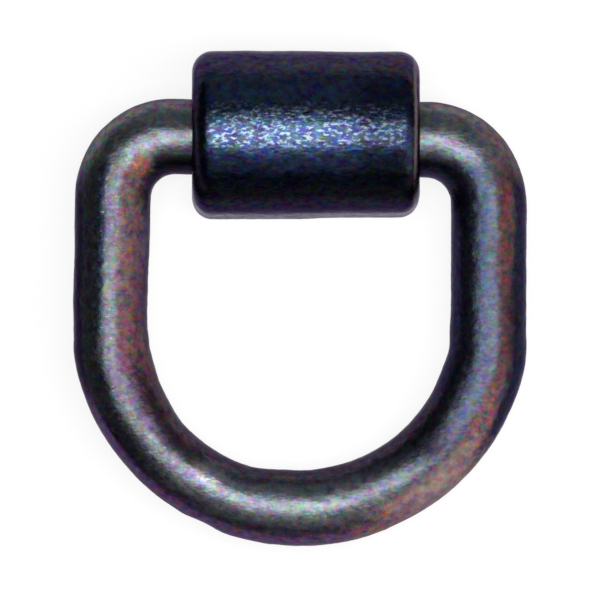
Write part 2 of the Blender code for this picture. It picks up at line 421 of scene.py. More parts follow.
def arched_block(name, radius, half_length, bottom, points):
    """A cylinder along X, cut where the draft starts, with its flat drawn down to the bottom."""
    deselect_everything()
    bpy.ops.mesh.primitive_cylinder_add(
        vertices=points, radius=radius, depth=half_length * 2,
        location=(clip_centre.x, clip_centre.y, back_z), rotation=(0, math.pi / 2, 0))
    block = bpy.context.object
    block.name = name
    bpy.ops.object.transform_apply(location=True, rotation=True, scale=True)
    draft_start = back_z + radius * math.sin(DRAFT)
    edit_everything()
    bpy.ops.mesh.select_mode(type="FACE")
    bpy.ops.mesh.bisect(plane_co=(0, 0, draft_start), plane_no=(0, 0, 1), use_fill=True, clear_inner=True)
    drop = draft_start - bottom
    bpy.ops.mesh.extrude_region_move(TRANSFORM_OT_translate={"value": (0, 0, -drop)})
    widening = 1 + drop * math.tan(DRAFT) / (radius * math.cos(DRAFT))
    bpy.ops.transform.resize(value=(1, widening, 1), center_override=(clip_centre.x, clip_centre.y, bottom))
    bpy.ops.object.mode_set(mode="OBJECT")
    return block


clip = arched_block("forged_clip", back_radius, clip_half + BLOCK_SPARE, bottom=0, points=BLOCK_POINTS)
edit_everything()
for side in (1, -1):
    bpy.ops.mesh.select_all(action="SELECT")
    bpy.ops.mesh.bisect(
        plane_co=(clip_centre.x + side * clip_half, 0, 0),
        plane_no=(side * math.cos(DRAFT), 0, math.sin(DRAFT)), use_fill=True, clear_outer=True)
bpy.ops.object.mode_set(mode="OBJECT")
print("block:", [round(v, 4) for v in clip.dimensions])

# %% [markdown]
# The edge round each end is 5.6 mm at the foot and 4.5 mm at the top. A Bevel
# modifier rounds an edge by its bevel weight, so the weight falls with the
# height. The sole's rim then gets a small bevel for the weld, while the block
# is still solid.

# %% Round the ends and bevel the sole
FOOT_ROUNDING = 0.0056
TOP_ROUNDING = 0.0045
ROUNDING_STEPS = 10
NEAR = 0.00003  # two points this close count as one place
FACING_DOWN = -0.99  # a normal's Z below this belongs to the sole


def end_edge_weight(mesh, edge):
    """How much of the foot's rounding an edge of an end face gets."""
    first, second = (mesh.vertices[i].co for i in edge.vertices)
    along_the_clip = abs(first.x - second.x) > clip_half
    on_the_sole = max(first.z, second.z) < NEAR
    if along_the_clip or on_the_sole:
        return 0.0
    share = (first.z + second.z) / 2 / clip_height
    smooth_share = share * share * (3 - 2 * share)
    return 1 + (TOP_ROUNDING / FOOT_ROUNDING - 1) * smooth_share


weights = clip.data.attributes.new("bevel_weight_edge", "FLOAT", "EDGE")
weights.data.foreach_set("value", [end_edge_weight(clip.data, edge) for edge in clip.data.edges])
apply_modifier(
    "BEVEL", limit_method="WEIGHT", width=FOOT_ROUNDING, segments=ROUNDING_STEPS, use_clamp_overlap=False)
pick("FACE", lambda mesh, face: face.normal.z < FACING_DOWN)
bpy.ops.mesh.region_to_loop()
bpy.ops.mesh.bevel(offset=SOLE_BEVEL, segments=2, affect="EDGES")
bpy.ops.object.mode_set(mode="OBJECT")
print("clip with round ends:", len(clip.data.polygons), "faces")

# %% [markdown]
# The channel is an arch on two spreading legs, open below and at both ends. A
# second block of the channel's radius, longer and deeper than the clip, is
# taken away from it with a Boolean.

# %% Cut the channel
CUTTER_POINTS = 96
CUTTER_SPARE = 0.01  # how far the cutter sticks out of the ends and the sole

cutter = arched_block("channel_cutter", channel_radius, clip_half + CUTTER_SPARE,
                      bottom=-CUTTER_SPARE, points=CUTTER_POINTS)
deselect_everything()
bpy.context.view_layer.objects.active = clip
clip.select_set(True)
apply_modifier("BOOLEAN", object=cutter, operation="DIFFERENCE")
bpy.data.objects.remove(cutter)
print("clip after its channel:", len(clip.data.polygons), "faces")

# %% [markdown]
# The mouths of the channel are rounded, so that no sharp edge saws on the bar.
# An edge belongs to a mouth if both its points lie on a leaning end face and on
# the channel's wall, which is round above the draft's start and straight below.

# %% Round the two mouths of the channel
MOUTH_ROUNDING = 0.0012


def on_mouth(mesh, edge):
    """True for an edge where the channel runs out of an end face."""
    for point in (mesh.vertices[i].co for i in edge.vertices):
        end_x = clip_half - point.z * math.tan(DRAFT)
        across = abs(point.y - clip_centre.y)
        rise = point.z - back_z
        if rise > channel_radius * math.sin(DRAFT):
            off_wall = math.hypot(across, rise) - channel_radius
        else:
            drop = channel_radius * math.sin(DRAFT) - rise
            off_wall = across - channel_radius * math.cos(DRAFT) - drop * math.tan(DRAFT)
        if abs(abs(point.x - clip_centre.x) - end_x) > NEAR or abs(off_wall) > NEAR:
            return False
    return True


mouth_edges = pick("EDGE", on_mouth)
bpy.ops.mesh.bevel(offset=MOUTH_ROUNDING, segments=3, affect="EDGES")
bpy.ops.object.mode_set(mode="OBJECT")
print("mouth edges rounded:", mouth_edges)

# %% [markdown]
# ## What the forge left on the clip
#
# The clip is rougher than the ring: its back is pebbled all over, with grains
# of about a millimetre that glitter where the light meets them. Such marks need
# faces of an even size, and the cut and bevelled block has long thin ones. So a
# voxel remesh lays even faces over it, and a light smoothing takes off the steps.

# %% Remesh the clip
VOXEL = 0.00037

apply_modifier("REMESH", mode="VOXEL", voxel_size=VOXEL)
apply_modifier("SMOOTH", factor=0.5, iterations=2)
report(clip)

# %% [markdown]
# In the photo the right end is a little drawn out, the foot beside the ring bows
# outwards, and the far foot is slightly hollow. Then come the long waves, the
# marks and the pebbles, and the soles are pressed flat.

# %% Press the clip's faults and forge marks
FOOT_HEIGHT = 0.004
RIGHT_OF_THE_END = Vector((clip_high.x + 0.012, clip_centre.y, 0.010))
RING_SIDE_FOOT = photo_place(235, 217, FOOT_HEIGHT)
FAR_SIDE_FOOT = photo_place(385, 52, FOOT_HEIGHT)
SOLE_UNEVENNESS = 0.0003

nudge("right end drawn out", RIGHT_OF_THE_END, reach=0.025, move=(0.0005, 0, 0), softness=0.012)
nudge("ring side foot bowed out", RING_SIDE_FOOT, reach=0.010, move=(0, -0.0004, 0), softness=0.022)
nudge("far side foot pressed in", FAR_SIDE_FOOT, reach=0.010, move=(0, -0.0002, 0), softness=0.022)
press_marks("clip_waves", "CLOUDS", size=0.009, depth=0.00026)
press_marks("clip_marks", "CLOUDS", size=0.0030, depth=0.00007, noise_depth=1)
press_marks("clip_pebbles", "VORONOI", size=0.0013, depth=0.00004)
press_flat(below=SOLE_UNEVENNESS)
bpy.ops.object.shade_smooth()
report(clip)

# %% [markdown]
# ## Finishes from a few shared effects
#
# Both forgings carry the same black scale, so they share the same effects, each
# made once as a node group: the grain of the scale, its play of colours, a lit
# top with painted light and shade, and rust with a painted warm sheen. A group only puts out masks, colours
# and heights. The shader itself stays in each material, where every value that is
# the same all over is set on the shader's own socket.

# %% Helpers: nodes and masks
def node(tree, kind, values=None, **settings):
    """Add a node, set it, and fill its sockets with values or with other nodes' outputs."""
    new = tree.nodes.new(kind)
    for name, value in settings.items():
        setattr(new, name, value)
    for socket, value in (values or {}).items():
        if isinstance(value, bpy.types.NodeSocket):
            tree.links.new(value, new.inputs[socket])
        else:
            new.inputs[socket].default_value = value
    return new


def tree_of(*values):
    """The node tree that the first socket among the values belongs to."""
    return next(value.id_data for value in values if isinstance(value, bpy.types.NodeSocket))


def ramp(value, start, end, low=0.0, high=1.0):
    """A smooth step from low to high, while the value goes from start to end."""
    step = node(tree_of(value), "ShaderNodeMapRange", {
        "Value": value, "From Min": start, "From Max": end, "To Min": low, "To Max": high},
        interpolation_type="SMOOTHSTEP")
    return step.outputs["Result"]


def math_node(operation, first, second=0.0):
    tree = tree_of(first, second)
    return node(tree, "ShaderNodeMath", {0: first, 1: second}, operation=operation).outputs[0]


def times(first, *others):
    """Masks or values multiplied, so a mask is left only where all of them are."""
    for other in others:
        first = math_node("MULTIPLY", first, other)
    return first


def stronger(first, second):
    return math_node("MAXIMUM", first, second)


def all_but(mask):
    return math_node("SUBTRACT", 1.0, mask)


def axes(vector):
    """The outputs "X", "Y" and "Z" of a place or a direction."""
    return node(tree_of(vector), "ShaderNodeSeparateXYZ", {0: vector}).outputs


def facing_towards(direction, side):
    """How much a surface faces a side: one where it faces it, below zero where it faces away."""
    dot = node(
        tree_of(direction), "ShaderNodeVectorMath", {0: direction, 1: side}, operation="DOT_PRODUCT")
    return dot.outputs["Value"]


def mix_colour(share, first, second, blend="MIX"):
    """Lay the second colour over the first. A Mix node keeps its colours in sockets 6 and 7."""
    mixer = node(
        tree_of(share, first, second), "ShaderNodeMix", {0: share, 6: first, 7: second},
        data_type="RGBA", blend_type=blend)
    return mixer.outputs[2]


def noise(place, per_metre, detail, roughness):
    """A noise texture with that many patches to a metre."""
    return node(tree_of(place), "ShaderNodeTexNoise", {
        "Vector": place, "Scale": per_metre, "Detail": detail, "Roughness": roughness}).outputs


# %% [markdown]
# A node group is one effect. Inside, it has two ends with the same named sockets
# as outside, and a material places it like one node.

# %% Helpers: node groups
def new_group(name, inputs, outputs):
    """An empty node group with named sockets. Returns the group and its inner ends."""
    group = bpy.data.node_groups.new(name, "ShaderNodeTree")
    for socket, kind, value in inputs:
        made = group.interface.new_socket(socket, in_out="INPUT", socket_type="NodeSocket" + kind)
        if value is not None:
            made.default_value = value
    for socket, kind in outputs:
        group.interface.new_socket(socket, in_out="OUTPUT", socket_type="NodeSocket" + kind)
    return group, node(group, "NodeGroupInput").outputs, node(group, "NodeGroupOutput").inputs


def use_group(group, **values):
    """Place a group in the material that its values come from. Returns its outputs."""
    return node(tree_of(*values.values()), "ShaderNodeGroup", values, node_tree=group).outputs


# %% [markdown]
# The grain of forge scale is a crust of flat flakes with fine dust between
# them. A Voronoi texture gives the flakes, a fine noise the dust, and a coarser
# noise picks the grains that the steels paint as glints. Flakes and glitter are
# drawn out along X, the length of the clip, as in the photo. Size is the width of
# a flake in metres, so its scale is one over that.

# %% Effect: grain of the scale
DRAWN_OUT = (0.55, 1.0, 1.0)  # a share below one makes the pattern longer along X
DUST_FINENESS = 2.3  # patches of dust to a flake
GLITTER_FINENESS = 0.9

scale_grain, start, end = new_group(
    "scale_grain", [("Place", "Vector", None), ("Size", "Float", 0.001)],
    [("Height", "Float"), ("Flake", "Float"), ("Glitter", "Float")])
per_metre = math_node("DIVIDE", 1.0, start["Size"])
stretch = node(scale_grain, "ShaderNodeVectorMath", {0: start["Place"], 1: DRAWN_OUT}, operation="MULTIPLY")
drawn = stretch.outputs["Vector"]
flakes = node(scale_grain, "ShaderNodeTexVoronoi", {"Vector": drawn, "Scale": per_metre})
dust = noise(start["Place"], times(per_metre, DUST_FINENESS), detail=3.0, roughness=0.6)
glitter = noise(drawn, times(per_metre, GLITTER_FINENESS), detail=3.0, roughness=0.62)
flake_tone = node(scale_grain, "ShaderNodeSeparateColor", {"Color": flakes.outputs["Color"]})
height = math_node("SUBTRACT", dust["Fac"], flakes.outputs["Distance"])
scale_grain.links.new(height, end["Height"])
scale_grain.links.new(flake_tone.outputs["Red"], end["Flake"])
scale_grain.links.new(glitter["Fac"], end["Glitter"])
print("effect", scale_grain.name)

# %% [markdown]
# Oxide on hot steel is so thin that it shows colours: violet, blue and green
# patches, each a millimetre or two wide. A noise texture has a colour output
# whose three channels differ. Pulled apart from grey and multiplied onto the
# steel's colour, it gives that play.

# %% Effect: oxide colours
MIDDLE_GREY = 0.5  # what a noise texture gives on average

oxide_colours, start, end = new_group(
    "oxide_colours",
    [("Place", "Vector", None), ("Colour", "Color", (0.1, 0.1, 0.1, 1)), ("Size", "Float", 0.002),
     ("Strength", "Float", 1.0)],
    [("Colour", "Color")])
patches = noise(start["Place"], math_node("DIVIDE", 1.0, start["Size"]), detail=2.0, roughness=0.7)
split = node(oxide_colours, "ShaderNodeSeparateColor", {"Color": patches["Color"]})
channels = {}
for channel in ("Red", "Green", "Blue"):
    lifted = math_node("SUBTRACT", split.outputs[channel], MIDDLE_GREY)
    spread = times(lifted, start["Strength"])
    channels[channel] = math_node("ADD", spread, 1.0)
tint = node(oxide_colours, "ShaderNodeCombineColor", channels)
toned = mix_colour(1.0, start["Colour"], tint.outputs["Color"], "MULTIPLY")
oxide_colours.links.new(toned, end["Colour"])
print("effect", oxide_colours.name)

# %% [markdown]
# This mask paints light and shade: surfaces that face up or down get the bright
# colour, as a painted highlight where the overhead light falls, and the flanks
# get painted shade. The Normal output of Texture Coordinate is the direction
# in the piece's own space, so the mask turns with the ring when it swings. It
# starts at Flank and is full at Top, where 0 is upright and 1 lies flat.

# %% Effect: painted lit top and shaded flanks
lit_top_mask, start, end = new_group(
    "lit_top_mask", [("Direction", "Vector", None), ("Flank", "Float", 0.6), ("Top", "Float", 0.97)],
    [("Mask", "Float")])
lying_flat = math_node("ABSOLUTE", axes(start["Direction"])["Z"])
mask = ramp(lying_flat, start["Flank"], start["Top"])
lit_top_mask.links.new(mask, end["Mask"])
print("effect", lit_top_mask.name)

# %% [markdown]
# A thin brown film lies on the flanks that face right, in a band between the
# lit top and the side in painted shade. It is partly rust and partly a painted
# reflection of the warm light on the right. The band is a range of the angle
# between the surface and the warm side's direction. It begins at Start and ends
# where the surface faces that side squarely, and a coarse noise thins it to half in patches.

# %% Effect: film of rust and painted warm sheen
BAND_RISE = 0.28  # from Start on, until the film is full
BAND_FALL = (0.92, 0.66)  # gone above the first, full below the second
FILM_PATCHES = 190.0  # to a metre

rust_and_warm_sheen, start, end = new_group(
    "rust_and_warm_sheen",
    [("Place", "Vector", None), ("Direction", "Vector", None), ("Weather", "Vector", None),
     ("Start", "Float", 0.2)],
    [("Mask", "Float")])
to_warm_side = facing_towards(start["Direction"], start["Weather"])
into_band = math_node("SUBTRACT", to_warm_side, start["Start"])
band = times(ramp(into_band, 0.0, BAND_RISE), ramp(to_warm_side, *BAND_FALL))
patches = noise(start["Place"], FILM_PATCHES, detail=3.0, roughness=0.55)
broken = ramp(patches["Fac"], 0.32, 0.62, low=0.50)
rust_and_warm_sheen.links.new(times(band, broken), end["Mask"])
print("effect", rust_and_warm_sheen.name)

# %% [markdown]
# Rust also starts in spots that stayed wet: a broken haze round a given place,
# which fades with the distance from it, while a fine noise breaks up its rim.
# The same mask serves for other marks of one place: dust with a painted sheen,
# painted shade in a bend and at a dent, and a painted highlight on the bow.

# %% Effect: a spot
SPECKS = 600.0  # to a metre
RIM_WIDTH = 0.7  # how far the specks shift the rim, against the radius
HAZE = (1.25, 0.55)  # gone beyond the first, full within the second

spot_mask, start, end = new_group(
    "spot_mask",
    [("Place", "Vector", None), ("Centre", "Vector", None), ("Radius", "Float", 0.01)],
    [("Mask", "Float")])
distance = node(
    spot_mask, "ShaderNodeVectorMath", {0: start["Place"], 1: start["Centre"]}, operation="DISTANCE")
share = math_node("DIVIDE", distance.outputs["Value"], start["Radius"])
specks = noise(start["Place"], SPECKS, detail=2.0, roughness=0.6)
broken = math_node("ADD", share, times(specks["Fac"], RIM_WIDTH))
spot_mask.links.new(ramp(broken, *HAZE), end["Mask"])
print("effect", spot_mask.name)

# %% [markdown]
# ## The steel of the clip
#
# The clip's scale is thick, blue-black and rough. The shader is metal with a
# dark base colour, because magnetite shines like a dull metal. A metal's rim
# reflects almost everything, which would draw a white outline round a black
# forging, so Specular Tint, which sets how much a metal reflects near its rim,
# is darker than white. The ring's steel starts in the same way, so two helpers
# do what both need.

# %% Helpers: start a steel and finish it
GRAIN_SIZE = 0.0007  # the width of a flake of scale
GRAIN_DEPTH = 0.00006
GRAIN_STRENGTH = 0.5


def new_steel(name, rim_tint):
    """A metal material. Returns it, its node tree and shader, and a surface's place and direction."""
    material = bpy.data.materials.new(name)
    material.use_nodes = True
    tree = material.node_tree
    shader = tree.nodes["Principled BSDF"]
    shader.inputs["Metallic"].default_value = 1.0
    shader.inputs["Specular Tint"].default_value = rim_tint
    coordinates = node(tree, "ShaderNodeTexCoord").outputs
    return material, tree, shader, coordinates["Object"], coordinates["Normal"]


def finish_steel(piece, material, shader, colour, roughness, height):
    """Feed the shader its colour, roughness and grain, and put the material on its piece."""
    tree = material.node_tree
    bump = node(tree, "ShaderNodeBump", {
        "Height": height, "Strength": GRAIN_STRENGTH, "Distance": GRAIN_DEPTH})
    tree.links.new(colour, shader.inputs["Base Color"])
    tree.links.new(roughness, shader.inputs["Roughness"])
    tree.links.new(bump.outputs["Normal"], shader.inputs["Normal"])
    piece.data.materials.clear()
    piece.data.materials.append(material)
    print("material", material.name, "on", piece.name)


# %% [markdown]
# The clip's back is blue, with a painted highlight where the overhead light
# falls, duller towards both ends; at the left end that is painted shade of the
# rounded edge. Its flanks get painted shade, darker on the ring's side than on
# the far side. Each colour is mixed in by a mask, and the oxide effect tints the whole.

# %% Clip steel: painted lit back, painted shade on the flanks
CLIP_RIM = (0.50, 0.46, 0.58, 1)
LIT_BACK_BLUE = (0.029, 0.045, 0.100, 1)
DULL_BACK = (0.004, 0.004, 0.008, 1)
RING_SIDE_SHADE = (0.017, 0.017, 0.026, 1)
FAR_SIDE_LIT = (0.037, 0.034, 0.056, 1)
CLIP_OXIDE_SIZE = 0.0020

clip_steel, tree, shader, place, direction = new_steel("clip_steel", CLIP_RIM)
along = axes(place)
facing = axes(direction)
lit_top = use_group(lit_top_mask, Direction=direction, Flank=0.62, Top=0.98)
# painted shine of the back: it fades at both ends, and at the left end that is painted shade
painted_shine = times(ramp(along["X"], 0.008, 0.020, low=1.0, high=0.42),
              ramp(along["X"], -0.0250, -0.0200, low=0.25))
back_colour = mix_colour(painted_shine, DULL_BACK, LIT_BACK_BLUE)
# painted light and shade: the far side's flank lighter, the ring side's darker
flank_colour = mix_colour(ramp(facing["Y"], 0.2, 0.8), RING_SIDE_SHADE, FAR_SIDE_LIT)
scale_colour = mix_colour(lit_top["Mask"], flank_colour, back_colour)
tinted = use_group(oxide_colours, Place=place, Colour=scale_colour, Size=CLIP_OXIDE_SIZE,
                   Strength=ramp(facing["Z"], 0.15, 0.50, low=1.6, high=3.8))
print("clip steel so far:", len(tree.nodes), "nodes")

# %% [markdown]
# Along the crest of its back, where the light's reflection falls, glints are
# painted on grains, and a reddish grey highlight is painted on the rim of its
# right end. The crest is the lit top mask once more, with a narrower range. A
# painted glint is the crest, the grain's glitter and the back's painted shine
# multiplied. The rim's painted highlight is a range of the direction too: it faces right and up.

# %% Clip steel: painted glints and a painted rim highlight
PAINTED_GLINT = (0.17, 0.23, 0.29, 1)
RIM_HIGHLIGHT = (0.26, 0.19, 0.18, 1)

lit_crest = use_group(lit_top_mask, Direction=direction, Flank=0.945, Top=0.985)
grain = use_group(scale_grain, Place=place, Size=GRAIN_SIZE)
# painted glints, only on the crest where the highlight falls
painted_glint = times(lit_crest["Mask"], ramp(grain["Glitter"], 0.48, 0.66), painted_shine)
with_painted_glints = mix_colour(painted_glint, tinted["Colour"], PAINTED_GLINT)
# painted highlight on the rounded rim of the right end
painted_rim_highlight = times(ramp(facing["X"], 0.60, 0.72), ramp(facing["X"], 0.88, 0.78, high=0.5))
steel_colour = mix_colour(painted_rim_highlight, with_painted_glints, RIM_HIGHLIGHT)
steel_roughness = ramp(grain["Flake"], 0.0, 1.0, low=0.33, high=0.23)
finish_steel(clip, clip_steel, shader, steel_colour, steel_roughness, grain["Height"])

# %% [markdown]
# ## The steel of the ring
#
# The ring's bar was rolled before it was bent, so its scale is thinner and
# smoother than the clip's, and lets a brownish grey through. Its top gets a
# painted highlight where the overhead light falls, lighter on the left than on
# the right and brightest at the bottom of the bow and beside the clip, and the
# lit band is painted wider inside the bow. So the masks read two things: the
# direction in which the surface faces, and the place on the piece in metres.
# There the bow's bottom is at Y -0.063 and the straight bar at Y 0.041.

# %% Ring steel: the painted lit top
RING_RIM = (0.60, 0.55, 0.66, 1)
LEFT_GREY = (0.084, 0.088, 0.104, 1)
RIGHT_GREY = (0.050, 0.056, 0.080, 1)
BRIGHTEST_TOP = (0.146, 0.158, 0.180, 1)
FLANK_END = 0.62  # where a flank becomes top

ring_steel, tree, shader, place, direction = new_steel("ring_steel", RING_RIM)
along = axes(place)
facing = axes(direction)
# the lit band is painted wider inside the bow
inside_bow = times(ramp(along["Y"], -0.020, -0.040),
                   ramp(facing["Y"], -0.40, 0.15, low=-0.12, high=0.24))
flank_end = math_node("SUBTRACT", FLANK_END, inside_bow)
lit_top = use_group(lit_top_mask, Direction=direction, Flank=flank_end, Top=0.98)
top_colour = mix_colour(ramp(along["X"], -0.040, 0.045), LEFT_GREY, RIGHT_GREY)
bright_bow_bottom = times(ramp(along["Y"], -0.036, -0.047), ramp(along["X"], 0.046, 0.000))
bright_by_the_clip = times(ramp(along["Y"], 0.0315, 0.0370), ramp(along["X"], 0.030, -0.030, low=0.95))
bright_top = stronger(bright_bow_bottom, bright_by_the_clip)
print("ring steel so far:", len(tree.nodes), "nodes")

# %% [markdown]
# The lit top isn't one grey. Painted shade narrows its highlight at both
# edges: a bluish band along its left side, weaker towards the bow, and a dark
# brown on the right of the right leg. A painted highlight makes one spot of the
# lower left bow almost white. Each is a mask for a colour that is laid over the last.

# %% Ring steel: painted shade and highlight on the lit top
BLUE_EDGE_SHADE = (0.036, 0.050, 0.080, 1)
BROWN_EDGE_SHADE = (0.024, 0.012, 0.014, 1)
PAINTED_HIGHLIGHT = (0.40, 0.41, 0.46, 1)
HIGHLIGHT_SPOT = photo_place(214, 465, 0.018)
HIGHLIGHT_SPOT_SHARE = 0.6

# painted shade, bluish, at the left edge of the top's highlight
left_edge_band = times(ramp(facing["X"], -0.05, -0.20), ramp(facing["X"], -0.46, -0.30))
blue_edge_shade = times(left_edge_band, ramp(along["Y"], -0.012, 0.008, low=0.3))
# painted shade, brown, on the right of the right leg's highlight
leg_band = times(ramp(along["Y"], 0.014, -0.002), ramp(along["Y"], -0.030, -0.012))
brown_edge_shade = times(leg_band, ramp(facing["X"], 0.16, 0.42), ramp(along["X"], 0.0, 0.03, high=0.75))
# a painted highlight that makes one spot of the lower left bow almost white
highlight_spot = use_group(spot_mask, Place=place, Centre=HIGHLIGHT_SPOT, Radius=0.0072)
top_colour = mix_colour(blue_edge_shade, top_colour, BLUE_EDGE_SHADE)
top_colour = mix_colour(brown_edge_shade, top_colour, BROWN_EDGE_SHADE)
lit_top_colour = mix_colour(bright_top, top_colour, BRIGHTEST_TOP)
lit_top_colour = mix_colour(times(highlight_spot["Mask"], HIGHLIGHT_SPOT_SHARE), lit_top_colour, PAINTED_HIGHLIGHT)
print("ring steel so far:", len(tree.nodes), "nodes")

# %% [markdown]
# The flanks keep their scale. Painted shade makes them blackest in three places:
# where they face left, outside on the right, and below the bar. The first mask
# leaves out the edge of the bow, the second starts a little earlier on the lower right leg.

# %% Ring steel: masks for the painted shade on the flanks
bow_edge = times(ramp(facing["Z"], 0.80, 0.60), ramp(along["Y"], -0.018, -0.034, high=0.9))
left_flank_shade = times(ramp(facing["X"], -0.15, -0.60), ramp(along["Y"], 0.040, 0.024),
                   all_but(bow_edge))
right_side = times(ramp(along["X"], 0.0, 0.030), ramp(along["Y"], 0.040, 0.026))
lower_leg = times(ramp(along["Y"], 0.015, -0.003), ramp(along["Y"], -0.034, -0.024, high=0.17))
facing_right = math_node("ADD", facing["X"], lower_leg)
right_rim_shade = times(ramp(facing_right, 0.44, 0.68), right_side)
shade_below_bar = times(ramp(facing["Y"], -0.20, -0.60), ramp(along["Y"], 0.010, 0.035))
print("ring steel so far:", len(tree.nodes), "nodes")

# %% [markdown]
# Elsewhere, flanks that face down in the photo are violet, and those that face
# up are dark violet, with painted light making them grey near the clip. Where a
# flank stands upright it is a neutral dark grey. The painted shade is laid over these.

# %% Ring steel: colours of the flanks
VIOLET = (0.082, 0.046, 0.108, 1)
DARK_VIOLET = (0.044, 0.030, 0.048, 1)
LIT_GREY_BY_THE_CLIP = (0.132, 0.130, 0.146, 1)
LOW_GREY = (0.030, 0.027, 0.034, 1)
SHADE_ON_THE_LEFT = (0.006, 0.006, 0.012, 1)
SHADE_ON_THE_RIGHT = (0.015, 0.016, 0.036, 1)

# painted light: the flanks that face up turn grey near the clip
lit_far_flank = mix_colour(ramp(along["Y"], 0.0, 0.02), DARK_VIOLET, LIT_GREY_BY_THE_CLIP)
scale = mix_colour(ramp(facing["Y"], -0.3, 0.4), VIOLET, lit_far_flank)
scale = mix_colour(ramp(facing["Z"], 0.55, 0.20), scale, LOW_GREY)
shade_colour = mix_colour(ramp(along["X"], -0.02, 0.03), SHADE_ON_THE_LEFT, SHADE_ON_THE_RIGHT)
left_colour = mix_colour(left_flank_shade, scale, shade_colour)
flank_colour = mix_colour(stronger(right_rim_shade, shade_below_bar), left_colour, shade_colour)
print("ring steel so far:", len(tree.nodes), "nodes")

# %% [markdown]
# Three parts of the top get painted shade: the inner side of the left bow, the
# inner side of the lower right bend, and a small dent in the left bow. They are
# taken out of the lit top mask, so the flank's colour shows there. Then the play
# of oxide colours is laid over both. It is weaker on the lit top, and weakest on
# flanks that stand upright.

# %% Ring steel: painted shade on the top, and the oxide colours
BEND_SHADE = photo_place(429, 444, 0.017)
BEND_SHADE_BLACK = (0.012, 0.010, 0.016, 1)
DENT_SHADE = photo_place(144, 409, 0.018)
DENT_SHADE_SHARE = 0.85
BEND_OUTSIDE = Vector((0.68, -0.73, 0))
RING_OXIDE_SIZE = 0.0019

# painted shade beside the highlight, inside the left bow
shade_rows = times(ramp(along["Y"], -0.004, -0.014), ramp(along["Y"], -0.044, -0.034))
inner_bow_shade = times(shade_rows, ramp(along["X"], 0.0, -0.01),
                    ramp(facing["X"], 0.06, 0.26, high=0.85))
bend_shade = use_group(spot_mask, Place=place, Centre=BEND_SHADE, Radius=0.0100)
turned_out = facing_towards(direction, BEND_OUTSIDE)
corner_shade = times(ramp(turned_out, 0.05, -0.10),
                    ramp(turned_out, -0.50, -0.34, low=0.3, high=0.9), bend_shade["Mask"])
dent = use_group(spot_mask, Place=place, Centre=DENT_SHADE, Radius=0.0042)
left_shades = stronger(inner_bow_shade, times(dent["Mask"], DENT_SHADE_SHARE))
flank_colour = mix_colour(corner_shade, flank_colour, BEND_SHADE_BLACK)
lit_part = times(lit_top["Mask"], all_but(stronger(left_shades, corner_shade)))
scale_colour = mix_colour(lit_part, flank_colour, lit_top_colour)
strength = times(ramp(lit_top["Mask"], 0.0, 1.0, low=3.6, high=2.2), ramp(facing["Z"], 0.15, 0.50, low=0.5))
tinted = use_group(oxide_colours, Place=place, Colour=scale_colour, Size=RING_OXIDE_SIZE, Strength=strength)
print("ring steel so far:", len(tree.nodes), "nodes")

# %% [markdown]
# Rust lies on the ring in three ways: the thin film on the side towards the
# warm light, which is partly a painted reflection of that light; dust outside the
# lower right bend, with a painted sheen; and a spot inside the upper left corner.
# The film is thinner on the left, missing on the rim in painted shade and beside
# the clip, and mostly missing on the left of the bow and in the upper right corner.

# %% Ring steel: where it rusts, and the painted warm sheen
WARM_SIDE = Vector((1, -0.35, 0)).normalized()
DUST_AND_SHEEN_BEND = photo_place(437, 480, 0.015)
DUST_AND_SHEEN_SHARE = 0.7
RUST_SPOT = photo_place(145, 166, 0.0172)
RUST_SPOT_SHARE = 0.6

film_and_sheen = use_group(rust_and_warm_sheen, Place=place, Direction=direction, Weather=WARM_SIDE,
                 Start=ramp(along["X"], -0.02, 0.03, low=0.12, high=0.04))
left_bow = times(ramp(along["Y"], -0.012, -0.024), ramp(along["X"], 0.024, 0.008, high=0.85))
from_the_middle = math_node("ABSOLUTE", along["X"])
by_the_clip = times(ramp(along["Y"], 0.024, 0.031), ramp(from_the_middle, 0.043, 0.036))
far_corner = times(ramp(along["X"], 0.0, 0.02), ramp(along["Y"], 0.026, 0.040, high=0.6))
thin_film_and_sheen = times(film_and_sheen["Mask"], all_but(right_rim_shade),
                  all_but(stronger(left_bow, by_the_clip)), all_but(far_corner),
                  ramp(along["X"], -0.02, 0.03, low=0.68))
# dust with a painted warm sheen, outside the lower right bend
dust = use_group(spot_mask, Place=place, Centre=DUST_AND_SHEEN_BEND, Radius=0.024)
dust_and_sheen_outside = times(dust["Mask"], ramp(turned_out, 0.03, 0.38))
spot = use_group(spot_mask, Place=place, Centre=RUST_SPOT, Radius=0.0048)
rust_and_sheen = stronger(stronger(thin_film_and_sheen, times(dust_and_sheen_outside, DUST_AND_SHEEN_SHARE)), times(spot["Mask"], RUST_SPOT_SHARE))
print("ring steel so far:", len(tree.nodes), "nodes")

# %% [markdown]
# The film, rust with a painted warm reflection, is reddish brown, darker on the
# right leg and paler in the bow. Dust with its painted sheen turns it to a
# greyish pink, and the rust spot is orange. The oxide effect breaks up these
# colours too, less where dust lies.

# %% Ring steel: colours of the rust and the painted sheen
LEFT_BROWN = (0.152, 0.054, 0.058, 1)
RIGHT_BROWN = (0.086, 0.019, 0.016, 1)
PALE_BROWN = (0.25, 0.125, 0.110, 1)
DUST_AND_SHEEN_PINK = (0.25, 0.170, 0.180, 1)
RUST_ORANGE = (0.30, 0.100, 0.022, 1)

brown = mix_colour(ramp(along["X"], -0.02, 0.03), LEFT_BROWN, RIGHT_BROWN)
brown = mix_colour(ramp(along["Y"], -0.014, -0.030, high=0.55), brown, PALE_BROWN)
with_dust_and_sheen = mix_colour(dust_and_sheen_outside, brown, DUST_AND_SHEEN_PINK)
orange = mix_colour(spot["Mask"], with_dust_and_sheen, RUST_ORANGE)
rust_and_sheen_colour = use_group(oxide_colours, Place=place, Colour=orange, Size=RING_OXIDE_SIZE,
                        Strength=ramp(dust_and_sheen_outside, 0.0, 0.8, low=5.0, high=2.2))
print("ring steel so far:", len(tree.nodes), "nodes")

